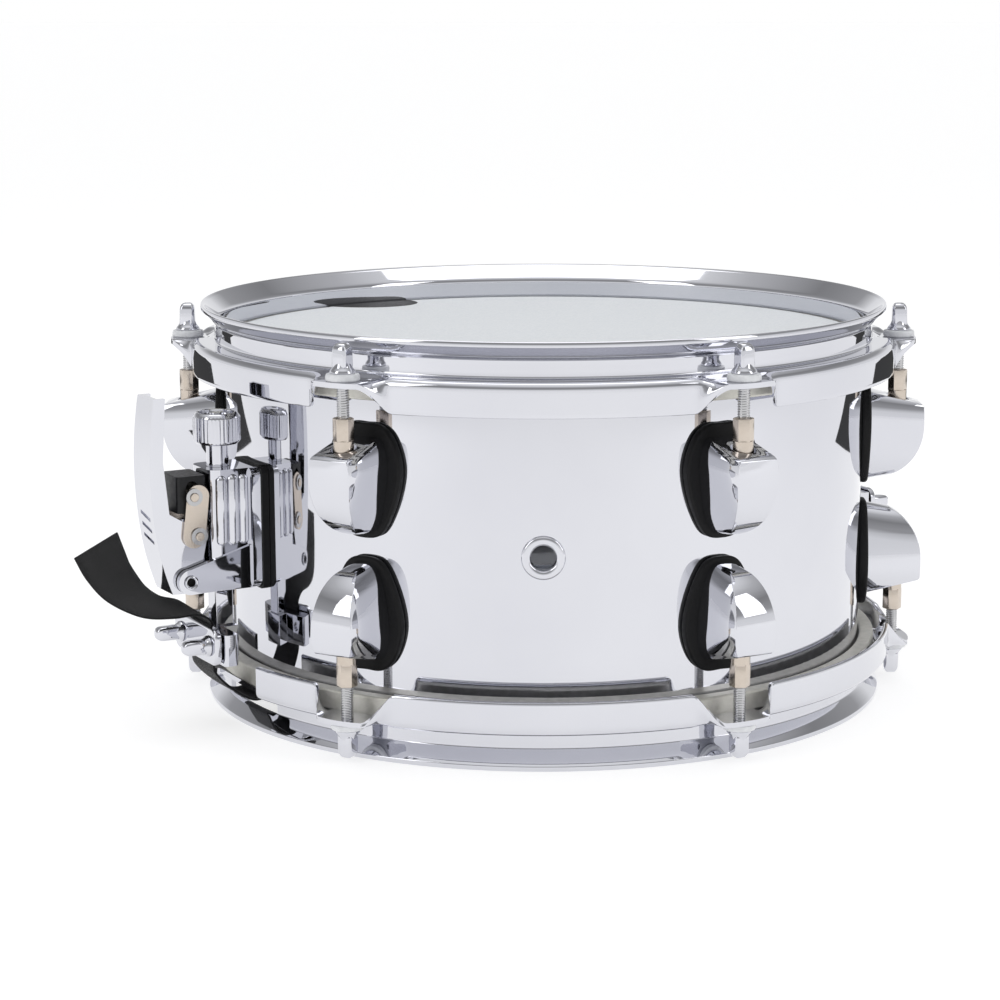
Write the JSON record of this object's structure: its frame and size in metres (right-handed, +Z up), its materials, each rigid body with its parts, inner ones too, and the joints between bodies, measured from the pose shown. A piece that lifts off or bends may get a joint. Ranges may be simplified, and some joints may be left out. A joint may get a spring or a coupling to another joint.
{
  "type": "snare drum",
  "caption": "Chromed steel snare drum with pressed hoops, tension rods, lugs, swinging snare throw-off, butt plate, straps and coiled snare wires.",
  "frame": {"origin": "on the drum's axis, in the plane of the lower rim", "axes": "+Z up along the drum's axis, towards the playing head; -Y towards the vent side; the throw-off stands 60 degrees from -Y towards -X"},
  "size_m": [0.3861, 0.334, 0.186],
  "materials": {
    "chrome": "polished chrome plate",
    "warm_nickel": "warm nickel plate on brass",
    "nickel": "dull nickel plate",
    "black_rubber": "smooth black rubber",
    "white_nylon": "natural white nylon",
    "coated_film": "rough white coating on film",
    "clear_film": "clear polyester film",
    "flesh_hoop_alloy": "bare aluminium channel",
    "woven_strap": "black woven nylon ribbon",
    "black_nylon": "black moulded nylon"
  },
  "bodies": {
    "drum": {"batter_flesh_hoop": "flesh_hoop_alloy", "batter_head_film": "coated_film", "batter_hoop": "chrome", "butt_body": "chrome", "butt_clamp_plate": "nickel", "butt_clamp_screws": "chrome", "butt_gasket": "black_rubber", "butt_screws": "nickel", "butt_strap": "woven_strap", "lever_pivot_pin": "chrome", "lower_lug_casings": "chrome", "lower_lug_gaskets": "black_rubber", "lower_nut_sleeves": "white_nylon", "lower_rod_washers": "white_nylon", "lower_swivel_nuts": "warm_nickel", "lug_screw_washers": "nickel", "lug_screws": "nickel", "shell": "chrome", "snare_end_plates": "nickel", "snare_side_flesh_hoop": "flesh_hoop_alloy", "snare_side_head_film": "clear_film", "snare_side_hoop": "chrome", "snare_strap": "woven_strap", "snare_wires": "nickel", "throw_off_body": "chrome", "throw_off_gasket": "black_rubber", "throw_off_screws": "nickel", "upper_lug_casings": "chrome", "upper_lug_gaskets": "black_rubber", "upper_nut_sleeves": "white_nylon", "upper_rod_washers": "white_nylon", "upper_swivel_nuts": "warm_nickel", "vent_grommet": "chrome", "vent_grommet_ring": "chrome"},
    "throw_off_lever": {"throw_off_lever": "chrome"},
    "link": {"link_plates": "warm_nickel", "link_pins": "warm_nickel", "link_clips": "nickel"},
    "slider": {"slider_block": "black_nylon"},
    "tension_adjuster": {"tension_knob": "chrome", "tension_screw": "chrome"},
    "slide_post": {"slide_post": "nickel", "throw_off_clamp_block": "nickel", "throw_off_clamp_plate": "nickel", "throw_off_clamp_screws": "chrome", "strap_tail": "woven_strap"},
    "upper_rod_1": {"upper_tension_rod_1": "chrome"},
    "upper_rod_2": {"upper_tension_rod_2": "chrome"},
    "upper_rod_3": {"upper_tension_rod_3": "chrome"},
    "upper_rod_4": {"upper_tension_rod_4": "chrome"},
    "upper_rod_5": {"upper_tension_rod_5": "chrome"},
    "upper_rod_6": {"upper_tension_rod_6": "chrome"},
    "lower_rod_1": {"lower_tension_rod_1": "chrome"},
    "lower_rod_2": {"lower_tension_rod_2": "chrome"},
    "lower_rod_3": {"lower_tension_rod_3": "chrome"},
    "lower_rod_4": {"lower_tension_rod_4": "chrome"},
    "lower_rod_5": {"lower_tension_rod_5": "chrome"},
    "lower_rod_6": {"lower_tension_rod_6": "chrome"}
  },
  "joints": [
    {"name": "upper_rod_1_turn", "type": "hinge", "parent": "drum", "child": "upper_rod_1", "pos_m": [0.08505, -0.14731, 0.173], "axis": [0, 0, -1], "range_deg": [-360, 360]},
    {"name": "upper_rod_2_turn", "type": "hinge", "parent": "drum", "child": "upper_rod_2", "pos_m": [0.1701, 0, 0.173], "axis": [0, 0, -1], "range_deg": [-360, 360]},
    {"name": "upper_rod_3_turn", "type": "hinge", "parent": "drum", "child": "upper_rod_3", "pos_m": [0.08505, 0.14731, 0.173], "axis": [0, 0, -1], "range_deg": [-360, 360]},
    {"name": "upper_rod_4_turn", "type": "hinge", "parent": "drum", "child": "upper_rod_4", "pos_m": [-0.08505, 0.14731, 0.173], "axis": [0, 0, -1], "range_deg": [-360, 360]},
    {"name": "upper_rod_5_turn", "type": "hinge", "parent": "drum", "child": "upper_rod_5", "pos_m": [-0.1701, 0, 0.173], "axis": [0, 0, -1], "range_deg": [-360, 360]},
    {"name": "upper_rod_6_turn", "type": "hinge", "parent": "drum", "child": "upper_rod_6", "pos_m": [-0.08505, -0.14731, 0.173], "axis": [0, 0, -1], "range_deg": [-360, 360]},
    {"name": "lower_rod_1_turn", "type": "hinge", "parent": "drum", "child": "lower_rod_1", "pos_m": [0.08505, -0.14731, 0.013], "axis": [0, 0, 1], "range_deg": [-360, 360]},
    {"name": "lower_rod_2_turn", "type": "hinge", "parent": "drum", "child": "lower_rod_2", "pos_m": [0.1701, 0, 0.013], "axis": [0, 0, 1], "range_deg": [-360, 360]},
    {"name": "lower_rod_3_turn", "type": "hinge", "parent": "drum", "child": "lower_rod_3", "pos_m": [0.08505, 0.14731, 0.013], "axis": [0, 0, 1], "range_deg": [-360, 360]},
    {"name": "lower_rod_4_turn", "type": "hinge", "parent": "drum", "child": "lower_rod_4", "pos_m": [-0.08505, 0.14731, 0.013], "axis": [0, 0, 1], "range_deg": [-360, 360]},
    {"name": "lower_rod_5_turn", "type": "hinge", "parent": "drum", "child": "lower_rod_5", "pos_m": [-0.1701, 0, 0.013], "axis": [0, 0, 1], "range_deg": [-360, 360]},
    {"name": "lower_rod_6_turn", "type": "hinge", "parent": "drum", "child": "lower_rod_6", "pos_m": [-0.08505, -0.14731, 0.013], "axis": [0, 0, 1], "range_deg": [-360, 360]},
    {"name": "throw_off_lever_swing", "type": "hinge", "parent": "drum", "child": "throw_off_lever", "pos_m": [-0.16368, -0.0945, 0.0707], "axis": [0.5, -0.866, 0], "range_deg": [0, 45]},
    {"name": "link_swing", "type": "hinge", "parent": "throw_off_lever", "child": "link", "pos_m": [-0.15918, -0.0919, 0.0909], "axis": [0.5, -0.866, 0], "range_deg": [-101, 1]},
    {"name": "slider_travel", "type": "slide", "parent": "drum", "child": "slider", "axis": [0, 0, 1], "range_m": [-0.0086, 0.0002], "deforming": ["snare_strap"]},
    {"name": "tension_knob_turn", "type": "hinge", "parent": "slider", "child": "tension_adjuster", "pos_m": [-0.14679, -0.08475, 0.1305], "axis": [0, 0, 1], "range_deg": [-1090, 1090]},
    {"name": "tension_travel", "type": "slide", "parent": "slider", "child": "slide_post", "axis": [0, 0, 1], "range_m": [-0.003, 0.003]}
  ],
  "couplings": [
    {"joint": "link_swing", "follows": "throw_off_lever_swing", "ratio": -2.2399},
    {"joint": "slider_travel", "follows": "throw_off_lever_swing", "m_per_rad": -0.010676},
    {"joint": "tension_knob_turn", "follows": "tension_travel", "rad_per_m": 6283.2}
  ]
}
